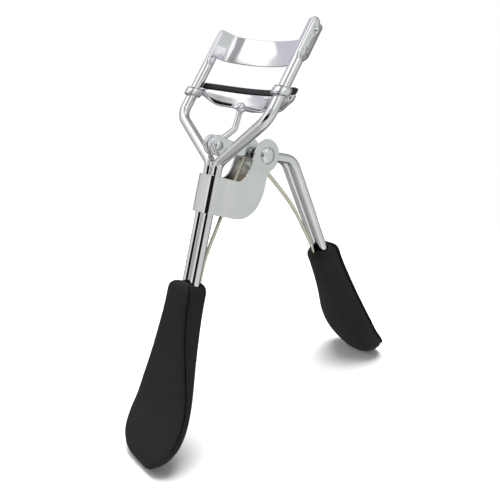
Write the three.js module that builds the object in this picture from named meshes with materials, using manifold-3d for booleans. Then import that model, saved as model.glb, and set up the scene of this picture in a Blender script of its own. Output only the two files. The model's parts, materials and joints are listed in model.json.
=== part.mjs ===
// Eyelash curler standing on its two grips. Millimetres, +Z up, X across the jaws,
// Y from the fixed handle towards the lever. The origin is under the middle of its box.
//
// Three working frames are used:
//   handle frame: x across, y "back" (towards the lever), z along the fixed handle
//   head frame:   x across, y back, z along the two rails, from the end of the fork
//   lever frame:  world axes with the pivot as origin
import * as THREE from "three";
import { mergeVertices } from "three/addons/utils/BufferGeometryUtils.js";
import Module from "manifold-3d";

const wasm = await Module();
wasm.setup();

// ---------------------------------------------------------------- driving dimensions
const WIRE_R = 1.4; // frame and lever wires are 2.8 mm
const HANDLE_LEAN = THREE.MathUtils.degToRad(15.75); // fixed handle, back from vertical
const RAIL_LEAN = THREE.MathUtils.degToRad(19); // rails, back from the handle
const HANDLE_GAP = 1.55; // half spacing of the two handle wires
const FORK_START = 85.8; // along the handle
const FORK_END = new THREE.Vector3(17.3, -0.8, 97.4); // handle frame, right side
const FORK_R = [3.1, 4.8]; // bend radii at the start and end of the fork
const RAIL_LENGTH = 27.6;
const RAIL_STEP = 1.9; // spacing of the rings of vertices along a rail
const WIRE_START = 28; // where the handle wires end, inside the grip

const PRESS_FROM = 15.6; // along the rail, where its top is pressed flat
const PRESS_TO = 17.8;
const PRESS_THIN = 0.55; // thickness factor across
const PRESS_WIDE = 1.3; // width factor front to back

const RIVET_AT = 19; // rivets of the upper jaw, along the rail

const JAW_R = 24; // radius of the jaw curve, concave face
const JAW_DEPTH = 9.4; // how far back the middle of that face is
const PLATE_SLOPE = 0.335; // the upper jaw's edges rise this much per millimetre back
const LOWER_R = 21; // the lower jaw's curve is a little tighter and shallower
const LOWER_DEPTH = 8.4;
const LOWER_SLOPE = 0.46;
const PLATE_TOP = 27.3;
const PLATE_HEIGHT = 8.4;
const SHEET = 0.7;
const PLATE_SHEET = 0.6;

const PAD_TOP = 10.25;
const CHANNEL_TOP = 8.35;
const CHANNEL_BOTTOM = 4.25;
const CHANNEL_WALL = 0.45;
const CHANNEL_INNER = 20.85; // radii of the channel's front and back faces
const CHANNEL_OUTER = 23.3;
const PAD_HEAD = [20.95, 23.0]; // radii of the rubber above the channel
const PAD_STEM = [21.6, 22.55]; // and of the rubber inside it
const JAW_END = THREE.MathUtils.degToRad(45.5);
const PAD_END = THREE.MathUtils.degToRad(46.8);
const STEM_END = THREE.MathUtils.degToRad(41);
const EYE_R = 2.4; // outer radius of the guide eyes
const EYE_HALF = 1.15; // and half their height

const COLLAR_BOTTOM = 72.8;
const COLLAR_TOP = 82.6;
const EAR_OUT = 4.05; // outer face of each ear
const PIVOT = new THREE.Vector3(0, 14.3, 90.85); // handle frame
const RIVET_R = 1.2;

const LEVER_GAP = 1.65; // half spacing of the two lever wires
const ELBOW = new THREE.Vector2(12.46, -2.38); // lever frame, y and z
const LEVER_LEAN = THREE.MathUtils.degToRad(27.3); // lever wires, out from vertical
const LEVER_RUN = 32.9; // elbow to the mouth of the rear grip
const PIN = new THREE.Vector2(-14.8, 3.5); // crank pin in the lever frame, y and z
const PIN_R = 0.75;
const PIN_PLAY = 0.6; // radial play of the link's eye on the crank pin
const ARM_IN = 0.85;
const ARM_OUT = 1.85;

const BALL = new THREE.Vector3(0, 5.1, 101.3); // link's ball, handle frame
const SPRING_R = 0.5;

const FRONT_MOUTH = 54; // mouth of the front grip, along the handle
const GRIP_LENGTH = 50.6;
const REAR_MOUTH = 0.8; // past the end of the lever's free run
const REAR_LENGTH = 55.4;
const FLOOR = 4.2; // height of the floor above the start of the handle axis
const GRIP_WIRE_DEPTH = 26; // how deep the wires go into a grip

const CLEAR = 0.3; // gap kept between fitted pieces
const SIDES = 12;

const CHROME = { color: 0xd4d6da, roughness: 0.08, metalness: 1 };
const SPRING_STEEL = { color: 0xb9b29a, roughness: 0.3, metalness: 1 };
const SOFT_BLACK = { color: 0x26272a, roughness: 0.62, metalness: 0 };
const RUBBER = { color: 0x17181a, roughness: 0.8, metalness: 0 };

// ---------------------------------------------------------------- frames
const handleMatrix = new THREE.Matrix4().makeRotationX(-HANDLE_LEAN);
const headMatrix = new THREE.Matrix4()
  .makeTranslation(0, FORK_END.y, FORK_END.z)
  .multiply(new THREE.Matrix4().makeRotationX(-RAIL_LEAN))
  .premultiply(handleMatrix);
const pivotWorld = PIVOT.clone().applyMatrix4(handleMatrix);
const leverMatrix = new THREE.Matrix4().makeTranslation(0, pivotWorld.y, pivotWorld.z);

const curler = new THREE.Group();

function addMesh(name, geometry, matrix, look) {
  const mesh = new THREE.Mesh(geometry, new THREE.MeshStandardMaterial(look));
  mesh.name = name;
  mesh.applyMatrix4(matrix);
  curler.add(mesh);
}

// ---------------------------------------------------------------- solids
function toSolid(geometry) {
  const plain = geometry.clone();
  for (const name of ["normal", "uv"]) plain.deleteAttribute(name);
  const merged = mergeVertices(plain, 1e-5);
  const mesh = new wasm.Mesh({
    numProp: 3,
    vertProperties: new Float32Array(merged.attributes.position.array),
    triVerts: new Uint32Array(merged.index.array),
  });
  return new wasm.Manifold(mesh);
}

function toGeometry(solid) {
  const mesh = solid.getMesh();
  const geometry = new THREE.BufferGeometry();
  geometry.setAttribute("position", new THREE.BufferAttribute(mesh.vertProperties, 3));
  geometry.setIndex(new THREE.BufferAttribute(mesh.triVerts, 1));
  return geometry;
}

// ---------------------------------------------------------------- wires
// A bent wire: straight runs through the corner points with an arc at each corner.
class BentWire extends THREE.Curve {
  constructor(corners, radii, arcSteps = 6, lastStep = 12) {
    super();
    this.stops = [corners[0].clone()];
    for (let i = 1; i < corners.length - 1; i += 1) {
      this.addArc(corners[i - 1], corners[i], corners[i + 1], radii[i - 1], arcSteps);
    }
    this.addRun(corners[corners.length - 1], lastStep);
  }

  addRun(end, maxStep) {
    const start = this.stops[this.stops.length - 1];
    const count = Math.max(1, Math.ceil(start.distanceTo(end) / maxStep));
    for (let k = 1; k <= count; k += 1) this.stops.push(start.clone().lerp(end, k / count));
  }

  addArc(before, corner, after, radius, arcSteps) {
    const toStart = before.clone().sub(corner).normalize();
    const toEnd = after.clone().sub(corner).normalize();
    const half = toStart.angleTo(toEnd) / 2;
    const reach = radius / Math.tan(half);
    const start = corner.clone().addScaledVector(toStart, reach);
    const bisector = toStart.clone().add(toEnd).normalize();
    const centre = corner.clone().addScaledVector(bisector, radius / Math.sin(half));
    this.addRun(start, 12);
    const first = start.clone().sub(centre);
    const last = corner.clone().addScaledVector(toEnd, reach).sub(centre);
    const sweep = first.angleTo(last);
    for (let k = 1; k <= arcSteps; k += 1) {
      const turn = (k / arcSteps) * sweep;
      const a = Math.sin(sweep - turn) / Math.sin(sweep);
      const b = Math.sin(turn) / Math.sin(sweep);
      this.stops.push(centre.clone().addScaledVector(first, a).addScaledVector(last, b));
    }
  }

  getPoint(t, target = new THREE.Vector3()) {
    const at = t * (this.stops.length - 1);
    const i = Math.min(Math.floor(at), this.stops.length - 2);
    return target.copy(this.stops[i]).lerp(this.stops[i + 1], at - i);
  }

  getPointAt(t, target) {
    return this.getPoint(t, target);
  }

  getTangentAt(t, target = new THREE.Vector3()) {
    const step = 0.5 / (this.stops.length - 1);
    const ahead = this.getPoint(Math.min(1, t + step));
    return target.copy(ahead).sub(this.getPoint(Math.max(0, t - step))).normalize();
  }
}

function wireGeometry(corners, radii, radius, sides = SIDES, arcSteps = 6, lastStep = 12) {
  const path = new BentWire(corners, radii, arcSteps, lastStep);
  const section = new THREE.Shape();
  section.absarc(0, 0, radius, 0, 2 * Math.PI);
  return new THREE.ExtrudeGeometry(section, {
    steps: path.stops.length - 1,
    curveSegments: sides,
    bevelEnabled: false,
    extrudePath: path,
  });
}

// ---------------------------------------------------------------- flat shapes
// Extrudes an outline drawn in (y, z) across X, from x0 to x1.
function sidePlate(outline, x0, x1, curveSegments = 10) {
  const geometry = new THREE.ExtrudeGeometry(outline, {
    depth: x1 - x0,
    curveSegments,
    bevelEnabled: false,
  });
  geometry.applyMatrix4(
    new THREE.Matrix4().set(0, 0, 1, x0, 1, 0, 0, 0, 0, 1, 0, 0, 0, 0, 0, 1)
  );
  return geometry;
}

// A disc or pin lying along X at (y, z), from x0 to x1.
function crossPin(y, z, radius, x0, x1, sides = 20) {
  const geometry = new THREE.CylinderGeometry(radius, radius, x1 - x0, sides);
  geometry.rotateZ(Math.PI / 2);
  geometry.translate((x0 + x1) / 2, y, z);
  return geometry;
}

// Outline of an even ribbon along a line of points.
function ribbon(points, thickness) {
  const left = [];
  const right = [];
  points.forEach((point, i) => {
    const ahead = points[Math.min(i + 1, points.length - 1)];
    const behind = points[Math.max(i - 1, 0)];
    const run = ahead.clone().sub(behind).normalize();
    const normal = new THREE.Vector2(-run.y, run.x).multiplyScalar(thickness / 2);
    left.push(point.clone().add(normal));
    right.push(point.clone().sub(normal));
  });
  return new THREE.Shape([...left, ...right.reverse()]);
}

// ---------------------------------------------------------------- frame wires
// The top of each rail is pressed flat, with a round lobe towards the back.
function pressRailTop(geometry, sideSign) {
  const toHead = headMatrix.clone().invert().multiply(handleMatrix);
  const back = toHead.clone().invert();
  const position = geometry.attributes.position;
  const point = new THREE.Vector3();
  for (let i = 0; i < position.count; i += 1) {
    point.fromBufferAttribute(position, i).applyMatrix4(toHead);
    const t = THREE.MathUtils.smoothstep(point.z, PRESS_FROM, PRESS_TO);
    if (t > 0) {
      const centre = sideSign * FORK_END.x;
      point.x = centre + (point.x - centre) * (1 - t * (1 - PRESS_THIN));
      const lobe = point.y > 0 ? THREE.MathUtils.smoothstep(point.z, 20.6, 22.4) * 0.55 : 0;
      point.y *= 1 + t * (PRESS_WIDE - 1) + lobe;
    }
    point.applyMatrix4(back);
    position.setXYZ(i, point.x, point.y, point.z);
  }
}

function railPoint(sideSign, along) {
  const offset = new THREE.Vector3(0, Math.sin(RAIL_LEAN), Math.cos(RAIL_LEAN));
  const end = new THREE.Vector3(sideSign * FORK_END.x, FORK_END.y, FORK_END.z);
  return end.addScaledVector(offset, along);
}

function frameWire(sideSign) {
  const path = [
    new THREE.Vector3(sideSign * HANDLE_GAP, 0, WIRE_START),
    new THREE.Vector3(sideSign * HANDLE_GAP, 0, FORK_START),
    new THREE.Vector3(sideSign * FORK_END.x, FORK_END.y, FORK_END.z),
    railPoint(sideSign, RAIL_LENGTH - 0.9),
  ];
  const wire = wireGeometry(path, FORK_R, WIRE_R, SIDES, 6, RAIL_STEP);
  const cap = new THREE.SphereGeometry(WIRE_R, SIDES, 6);
  const tip = railPoint(sideSign, RAIL_LENGTH - 0.9 - WIRE_R * 0.35);
  cap.translate(tip.x, tip.y, tip.z);
  const whole = toGeometry(toSolid(wire).add(toSolid(cap)));
  pressRailTop(whole, sideSign);
  return whole;
}

for (const [side, sign] of [["left", -1], ["right", 1]]) {
  addMesh(`frame_wire_${side}`, frameWire(sign), handleMatrix, CHROME);
}

// ---------------------------------------------------------------- jaws (head frame)
const slopeMatrix = (slope) =>
  new THREE.Matrix4().set(1, 0, 0, 0, 0, 1, 0, 0, 0, slope, 1, 0, 0, 0, 0, 1);
const plateSlope = slopeMatrix(PLATE_SLOPE);
const lowerSlope = slopeMatrix(LOWER_SLOPE);
const JAW_CENTRE = JAW_DEPTH - JAW_R;
const LOWER_CENTRE = LOWER_DEPTH - LOWER_R;

function arcPoint(centre, radius, angle) {
  return new THREE.Vector2(radius * Math.sin(angle), centre + radius * Math.cos(angle));
}

// Part of the lower jaw's curve between two radii, raised from z0 to z1 and sloped.
function jawSector(inner, outer, endAngle, z0, z1, steps = 16) {
  const rim = [];
  for (let k = 0; k <= steps; k += 1) {
    rim.push(arcPoint(LOWER_CENTRE, outer, endAngle * ((2 * k) / steps - 1)));
  }
  for (let k = steps; k >= 0; k -= 1) {
    rim.push(arcPoint(LOWER_CENTRE, inner, endAngle * ((2 * k) / steps - 1)));
  }
  const geometry = new THREE.ExtrudeGeometry(new THREE.Shape(rim), {
    depth: z1 - z0,
    bevelEnabled: false,
  });
  geometry.translate(0, 0, z0);
  geometry.applyMatrix4(lowerSlope);
  return geometry;
}

// A curved plate whose ends bend forward into flat tabs beside the rails.
function upperJaw() {
  const mid = JAW_R + PLATE_SHEET / 2;
  const tabX = FORK_END.x - WIRE_R * PRESS_THIN - CLEAR - PLATE_SHEET / 2;
  const bendAngle = Math.asin((tabX - 2.3) / mid);
  const start = arcPoint(JAW_CENTRE, mid, bendAngle);
  const bend = new THREE.CubicBezierCurve(
    start,
    new THREE.Vector2(start.x + 1.5, start.y - 1.05),
    new THREE.Vector2(tabX, 3.6),
    new THREE.Vector2(tabX, 2.3)
  );
  const half = [];
  const steps = 9;
  for (let k = 0; k < steps; k += 1) {
    half.push(arcPoint(JAW_CENTRE, mid, (bendAngle * k) / steps));
  }
  half.push(...bend.getPoints(5), new THREE.Vector2(tabX, 0.8));
  const mirrored = half.slice(1).map((point) => new THREE.Vector2(-point.x, point.y));
  const geometry = new THREE.ExtrudeGeometry(
    ribbon([...mirrored.reverse(), ...half], PLATE_SHEET),
    { depth: PLATE_HEIGHT, bevelEnabled: false }
  );
  geometry.translate(0, 0, PLATE_TOP - PLATE_HEIGHT);
  geometry.applyMatrix4(plateSlope);
  return geometry;
}
addMesh("upper_jaw", upperJaw(), headMatrix, CHROME);

// A small rivet holds each tab of the upper jaw to its flattened rail.
for (const [side, sign] of [["left", -1], ["right", 1]]) {
  const outerFace = FORK_END.x + WIRE_R * PRESS_THIN + 0.12;
  const head = new THREE.SphereGeometry(0.62, 12, 8, 0, 2 * Math.PI, 0, Math.PI / 2);
  const flat = new THREE.CircleGeometry(0.62, 12);
  flat.rotateX(Math.PI / 2);
  const dome = mergeDome(head, flat);
  dome.scale(1, 0.55, 1);
  dome.rotateZ((-sign * Math.PI) / 2);
  dome.translate(sign * outerFace, 0, RIVET_AT);
  addMesh(`upper_jaw_rivet_${side}`, dome, headMatrix, CHROME);
}

// Closes a half sphere with its flat underside.
function mergeDome(head, flat) {
  const positions = [];
  for (const part of [head.toNonIndexed(), flat.toNonIndexed()]) {
    positions.push(...part.attributes.position.array);
  }
  const geometry = new THREE.BufferGeometry();
  geometry.setAttribute("position", new THREE.Float32BufferAttribute(positions, 3));
  return mergeVertices(geometry, 1e-4);
}

// The lower jaw is a curved trough; the rubber's stem sits in it, its head above it.
function lowerJaw() {
  const whole = toSolid(
    jawSector(CHANNEL_INNER, CHANNEL_OUTER, JAW_END, CHANNEL_BOTTOM, CHANNEL_TOP)
  );
  const trough = jawSector(
    CHANNEL_INNER + CHANNEL_WALL,
    CHANNEL_OUTER - CHANNEL_WALL,
    JAW_END + 0.1,
    CHANNEL_BOTTOM + 0.8,
    CHANNEL_TOP + 10
  );
  let channel = whole.subtract(toSolid(trough));
  for (const sign of [-1, 1]) {
    const room = new THREE.CylinderGeometry(EYE_R + CLEAR, EYE_R + CLEAR, 40, 20);
    room.rotateX(Math.PI / 2);
    room.translate(sign * FORK_END.x, 0, 10);
    channel = channel.subtract(toSolid(room));
  }
  return toGeometry(channel);
}
addMesh("lower_jaw_channel", lowerJaw(), headMatrix, CHROME);

function rubberPad() {
  const head = jawSector(...PAD_HEAD, PAD_END, CHANNEL_TOP + CLEAR, PAD_TOP);
  const stem = jawSector(...PAD_STEM, STEM_END, CHANNEL_BOTTOM + 0.8 + CLEAR, PAD_TOP - 0.5);
  return toGeometry(toSolid(head).add(toSolid(stem)));
}
addMesh("rubber_pad", rubberPad(), headMatrix, RUBBER);

// Guide eyes: rings that run on the rails and carry the lower jaw.
for (const [side, sign] of [["left", -1], ["right", 1]]) {
  const inner = WIRE_R + 0.35;
  const outer = EYE_R;
  const ring = new THREE.LatheGeometry(
    [
      [inner, -EYE_HALF],
      [outer - 0.4, -EYE_HALF],
      [outer, 0.4 - EYE_HALF],
      [outer, EYE_HALF - 0.4],
      [outer - 0.4, EYE_HALF],
      [inner, EYE_HALF],
      [inner, -EYE_HALF],
    ].map(([r, z]) => new THREE.Vector2(r, z)),
    20
  );
  ring.rotateX(Math.PI / 2);
  ring.applyMatrix4(plateSlope);
  ring.translate(sign * FORK_END.x, 0, 7.4);
  addMesh(`guide_eye_${side}`, ring, headMatrix, CHROME);
}

// The lug under the middle of the lower jaw reaches forward to the link's ball.
const headInverse = headMatrix.clone().invert();
const ballHead = BALL.clone().applyMatrix4(handleMatrix).applyMatrix4(headInverse);
const BALL_R = 1.35;

function jawLug() {
  const tongue = new THREE.Shape();
  tongue.moveTo(-2.6, LOWER_DEPTH + 1.6);
  tongue.lineTo(-1.9, ballHead.y - 0.2);
  tongue.absarc(0, ballHead.y - 0.2, 1.9, Math.PI, 2 * Math.PI);
  tongue.lineTo(2.6, LOWER_DEPTH + 1.6);
  tongue.closePath();
  const plate = new THREE.ExtrudeGeometry(tongue, { depth: 0.9, bevelEnabled: false });
  plate.translate(0, 0, CHANNEL_BOTTOM - 0.9 - 0.2);
  plate.applyMatrix4(lowerSlope);
  const socket = new THREE.SphereGeometry(BALL_R + CLEAR, 16, 10);
  socket.translate(0, ballHead.y, ballHead.z);
  return toGeometry(toSolid(plate).subtract(toSolid(socket)));
}
addMesh("jaw_lug", jawLug(), headMatrix, CHROME);

// ---------------------------------------------------------------- pivot housing
// Folded sheet: wrapped round both handle wires, then opening into two ears.
function housingSection() {
  const wrap = WIRE_R + CLEAR + SHEET / 2 - 0.1;
  const line = [
    new THREE.Vector2(EAR_OUT - SHEET / 2, 20),
    new THREE.Vector2(EAR_OUT - SHEET / 2, 6.4),
    new THREE.Vector2(HANDLE_GAP + wrap - 0.25, 2.2),
  ];
  const turns = 5;
  for (let k = 0; k <= turns; k += 1) {
    const angle = 0.25 - (k / turns) * (Math.PI / 2 + 0.25);
    line.push(
      new THREE.Vector2(HANDLE_GAP + wrap * Math.cos(angle), wrap * Math.sin(angle))
    );
  }
  const mirrored = line.map((p) => new THREE.Vector2(-p.x, p.y)).reverse();
  return ribbon([...line, ...mirrored], SHEET - 0.1);
}

function housingSide() {
  const side = new THREE.Shape();
  side.moveTo(-4, COLLAR_BOTTOM);
  side.lineTo(-4, COLLAR_TOP);
  side.lineTo(5.6, COLLAR_TOP - 0.2);
  side.bezierCurveTo(7.6, 82.4, 9.2, 84.6, 9.4, 88.2);
  side.bezierCurveTo(9.5, 89.6, 9.7, 90.6, PIVOT.y - 4.3, PIVOT.z + 0.6);
  side.absarc(PIVOT.y, PIVOT.z, 4.35, Math.PI - 0.14, -0.9, true);
  side.bezierCurveTo(16.2, 86.6, 15.5, 85.6, 15.7, 83.2);
  side.bezierCurveTo(15.9, 79.2, 14.6, 76.2, 12.6, 74.4);
  side.bezierCurveTo(11.2, 73.1, 9.6, 72.5, 7.6, 72.5);
  side.closePath();
  return side;
}

function pivotHousing() {
  const fold = new THREE.ExtrudeGeometry(housingSection(), {
    depth: 40,
    bevelEnabled: false,
  });
  fold.translate(0, 0, 62);
  const side = sidePlate(housingSide(), -12, 12, 8);
  const hole = crossPin(PIVOT.y, PIVOT.z, RIVET_R + 0.3, -12, 12, 16);
  return toGeometry(toSolid(fold).intersect(toSolid(side)).subtract(toSolid(hole)));
}
addMesh("pivot_housing", pivotHousing(), handleMatrix, CHROME);

// Pivot rivet: one shank with a domed head against each ear.
function domedRivet(y, z, shankR, headR, headHeight, face, sides = 18) {
  const profile = [[0, -face - headHeight]];
  const steps = 4;
  const top = face + headHeight;
  for (let k = 1; k <= steps; k += 1) {
    const angle = ((k / steps) * Math.PI) / 2;
    profile.push([headR * Math.sin(angle), -face - headHeight * Math.cos(angle)]);
  }
  profile.push([shankR, -face], [shankR, face]);
  for (let k = steps; k >= 1; k -= 1) {
    const angle = ((k / steps) * Math.PI) / 2;
    profile.push([headR * Math.sin(angle), face + headHeight * Math.cos(angle)]);
  }
  profile.push([0, top]);
  const rivet = new THREE.LatheGeometry(
    profile.map(([r, a]) => new THREE.Vector2(r, a)),
    sides
  );
  rivet.rotateZ(-Math.PI / 2);
  rivet.translate(0, y, z);
  return rivet;
}
addMesh(
  "pivot_rivet",
  domedRivet(PIVOT.y, PIVOT.z, RIVET_R, 2.35, 1.05, EAR_OUT + 0.15),
  handleMatrix,
  CHROME
);

// ---------------------------------------------------------------- lever
const leverDown = new THREE.Vector2(Math.sin(LEVER_LEAN), -Math.cos(LEVER_LEAN));

function leverPoint(sideSign, distancePastElbow) {
  const at = ELBOW.clone().addScaledVector(leverDown, distancePastElbow);
  return new THREE.Vector3(sideSign * LEVER_GAP, at.x, at.y);
}

// Flat arm from the pivot to the crank pin, with a round end at each.
function armOutline(pivotR, pinR) {
  const length = PIN.length();
  const direction = Math.atan2(PIN.y, PIN.x);
  const spread = Math.acos((pivotR - pinR) / length);
  const outline = new THREE.Shape();
  outline.absarc(0, 0, pivotR, direction + spread, direction - spread + 2 * Math.PI, false);
  outline.absarc(PIN.x, PIN.y, pinR, direction - spread, direction + spread, false);
  return outline;
}

function leverWire(sideSign) {
  const path = [
    new THREE.Vector3(sideSign * LEVER_GAP, 1.2, -0.23),
    new THREE.Vector3(sideSign * LEVER_GAP, ELBOW.x, ELBOW.y),
    leverPoint(sideSign, LEVER_RUN + GRIP_WIRE_DEPTH),
  ];
  const wire = toSolid(wireGeometry(path, [5.9], WIRE_R));
  const [x0, x1] = sideSign > 0 ? [ARM_IN, ARM_OUT] : [-ARM_OUT, -ARM_IN];
  const arm = toSolid(sidePlate(armOutline(2.3, 2.6), x0, x1, 16));
  const [e0, e1] = sideSign > 0 ? [ARM_IN, 3.0] : [-3.0, -ARM_IN];
  const eye = toSolid(crossPin(0, 0, 2.6, e0, e1));
  const middle = new THREE.BoxGeometry(2 * ARM_IN, 10, 10);
  const pivotHole = toSolid(crossPin(0, 0, RIVET_R + 0.08, -5, 5, 18));
  const pinHole = toSolid(crossPin(PIN.x, PIN.y, PIN_R + 0.12, -5, 5, 16));
  return toGeometry(
    wire.subtract(toSolid(middle)).add(eye).add(arm).subtract(pivotHole).subtract(pinHole)
  );
}
for (const [side, sign] of [["left", -1], ["right", 1]]) {
  addMesh(`lever_wire_${side}`, leverWire(sign), leverMatrix, CHROME);
}
addMesh(
  "crank_pin",
  domedRivet(PIN.x, PIN.y, PIN_R, 1.25, 0.5, ARM_OUT + 0.12, 16),
  leverMatrix,
  CHROME
);

// ---------------------------------------------------------------- push link
const pinHandle = new THREE.Vector3(0, PIN.x, PIN.y)
  .applyMatrix4(leverMatrix)
  .applyMatrix4(handleMatrix.clone().invert());

function pushLink() {
  const eyeR = PIN_R + PIN_PLAY + 0.75;
  const eye = toSolid(crossPin(pinHandle.y, pinHandle.z, eyeR, -0.6, 0.6, 24));
  const hole = toSolid(crossPin(pinHandle.y, pinHandle.z, PIN_R + PIN_PLAY, -2, 2, 20));
  const path = [
    new THREE.Vector3(0, pinHandle.y + 1.2, pinHandle.z + 1.4),
    new THREE.Vector3(0, 4.5, 95.6),
    BALL.clone(),
  ];
  const rod = toSolid(wireGeometry(path, [2.2], 0.75, 10));
  const ball = new THREE.SphereGeometry(BALL_R, 16, 10);
  ball.translate(BALL.x, BALL.y, BALL.z);
  return toGeometry(eye.add(rod).subtract(hole).add(toSolid(ball)));
}
addMesh("push_link", pushLink(), handleMatrix, CHROME);

// ---------------------------------------------------------------- return spring
// A hairpin of thin wire: one leg in each grip, its bend under the pivot rivet.
function springPath() {
  const toHandle = handleMatrix.clone().invert().multiply(leverMatrix);
  const inward = new THREE.Vector2(-Math.cos(LEVER_LEAN), -Math.sin(LEVER_LEAN));
  const rearAt = (run, offset) => {
    const at = ELBOW.clone().addScaledVector(leverDown, run).addScaledVector(inward, offset);
    return new THREE.Vector3(0, at.x, at.y).applyMatrix4(toHandle);
  };
  return [
    new THREE.Vector3(0, 2.9, FRONT_MOUTH - 6),
    new THREE.Vector3(0, 2.9, 60),
    new THREE.Vector3(0, 9.9, 89.6),
    new THREE.Vector3(0, 19.3, 86.7),
    new THREE.Vector3(0, 33.0, 78.9),
    rearAt(LEVER_RUN - 2, 2.9),
    rearAt(LEVER_RUN + 6, 2.7),
  ];
}
addMesh(
  "return_spring",
  wireGeometry(springPath(), [30, 1.4, 30, 60, 20], SPRING_R, 8, 4),
  handleMatrix,
  SPRING_STEEL
);

// ---------------------------------------------------------------- grips
// Each curve runs along the grip from its foot (0) to its mouth (1). The offsets are
// measured from the wires: outwards for OUTER, inwards for EDGE (at the sides) and CROWN
// (along the middle of the inner face).
const profile = (pairs) =>
  new THREE.SplineCurve(pairs.map(([t, value]) => new THREE.Vector2(t, value)));
const WIDTH = profile([[0, 11.2], [0.25, 11.2], [0.4, 10.4], [0.53, 8.6], [0.65, 6.95], [0.77, 5.6], [0.87, 4.9], [1, 4.75]]);
const OUTER = profile([[0, 7.3], [0.1, 6.2], [0.19, 4.6], [0.29, 3.2], [0.41, 2.8], [0.53, 3.1], [0.77, 3.9], [1, 4.1]]);
const EDGE = profile([[0, -1.6], [0.1, -0.4], [0.19, 0.5], [0.29, 1.1], [0.41, 1.6], [0.53, 2.3], [0.77, 3.5], [1, 3.9]]);
const CROWN = profile([[0, -0.8], [0.1, 0.9], [0.19, 2.0], [0.29, 2.9], [0.41, 3.5], [0.53, 3.9], [0.77, 4.2], [1, 4.2]]);
const SHELL_SPLIT = 1.3; // the two shells part this far inside the outer face
const FOOT_ROUND = 0.25; // share of the length that rounds off the foot

function valueAt(curve, t) {
  let low = 0;
  let high = 1;
  for (let k = 0; k < 24; k += 1) {
    const middle = (low + high) / 2;
    if (curve.getPoint(middle).x < t) low = middle;
    else high = middle;
  }
  return curve.getPoint((low + high) / 2).y;
}

// One shell of a grip. +Y of the shell points to the grip's outer face; Z runs to the mouth.
function gripShell(length, isOuter) {
  const geometry = new THREE.BoxGeometry(2, 2, 2, 6, 2, 22);
  const position = geometry.attributes.position;
  for (let i = 0; i < position.count; i += 1) {
    const u = position.getX(i);
    const v = position.getY(i);
    const t = 0.5 - 0.5 * Math.cos((Math.PI * (position.getZ(i) + 1)) / 2);
    const outer = valueAt(OUTER, t);
    const split = outer - SHELL_SPLIT;
    const edge = -valueAt(EDGE, t);
    const crown = -valueAt(CROWN, t);
    const foot = Math.max(0, 1 - t / FOOT_ROUND);
    const mouth = Math.max(0, 1 - (1 - t) / 0.04);
    const across =
      valueAt(WIDTH, t) * Math.max(0.15, Math.sqrt(1 - foot ** 2)) * Math.sqrt(1 - 0.3 * mouth ** 2);
    const face = isOuter ? Math.max(0, v) : Math.max(0, -v);
    const top = isOuter ? outer - 0.5 * u ** 4 : split - CLEAR / 2;
    const bottom = isOuter ? split + CLEAR / 2 : crown + (edge - crown) * u ** 2;
    const x = u * across * (1 - 0.07 * face);
    position.setXYZ(i, x, bottom + ((v + 1) / 2) * (top - bottom), t * length);
  }
  return geometry;
}

// Room for the two wires and the spring leg.
function gripBore(length) {
  const depth = GRIP_WIRE_DEPTH + 0.6;
  const halfX = LEVER_GAP + WIRE_R + CLEAR;
  const wires = new THREE.BoxGeometry(2 * halfX, 2 * (WIRE_R + CLEAR), depth + 10);
  wires.translate(0, 0, length - depth + (depth + 10) / 2);
  const spring = new THREE.BoxGeometry(2 * (SPRING_R + CLEAR), 3.8, 30);
  spring.translate(0, -1.8, length - 9 + 15);
  return toSolid(wires).add(toSolid(spring));
}

// Levels the tip of the foot where it rests.
function levelFoot(geometry, matrix) {
  geometry.applyMatrix4(matrix);
  const floor = new THREE.BoxGeometry(200, 400, 20);
  floor.translate(0, 0, FLOOR - 10);
  return toGeometry(toSolid(geometry).subtract(toSolid(floor)));
}

const frontGripMatrix = new THREE.Matrix4()
  .makeTranslation(0, 0, FRONT_MOUTH - GRIP_LENGTH)
  .multiply(new THREE.Matrix4().makeRotationZ(Math.PI))
  .premultiply(handleMatrix);
const rearFoot = ELBOW.clone().addScaledVector(leverDown, LEVER_RUN + REAR_MOUTH + REAR_LENGTH);
const rearGripMatrix = new THREE.Matrix4()
  .makeTranslation(0, rearFoot.x, rearFoot.y)
  .multiply(new THREE.Matrix4().makeRotationX(LEVER_LEAN))
  .premultiply(leverMatrix);

for (const [name, length, matrix] of [
  ["front_grip", GRIP_LENGTH, frontGripMatrix],
  ["rear_grip", REAR_LENGTH, rearGripMatrix],
]) {
  for (const isOuter of [true, false]) {
    const solid = toSolid(gripShell(length, isOuter)).subtract(gripBore(length));
    const level = levelFoot(toGeometry(solid), matrix);
    addMesh(`${name}_${isOuter ? "outer" : "inner"}`, level, new THREE.Matrix4(), SOFT_BLACK);
  }
}

// ---------------------------------------------------------------- origin
curler.updateMatrixWorld(true);
const box = new THREE.Box3().setFromObject(curler, true);
curler.position.set(0, -(box.min.y + box.max.y) / 2, -box.min.z);

export default curler;
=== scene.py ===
import json
import math

import bmesh
import bpy
from mathutils import Matrix, Vector


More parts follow.
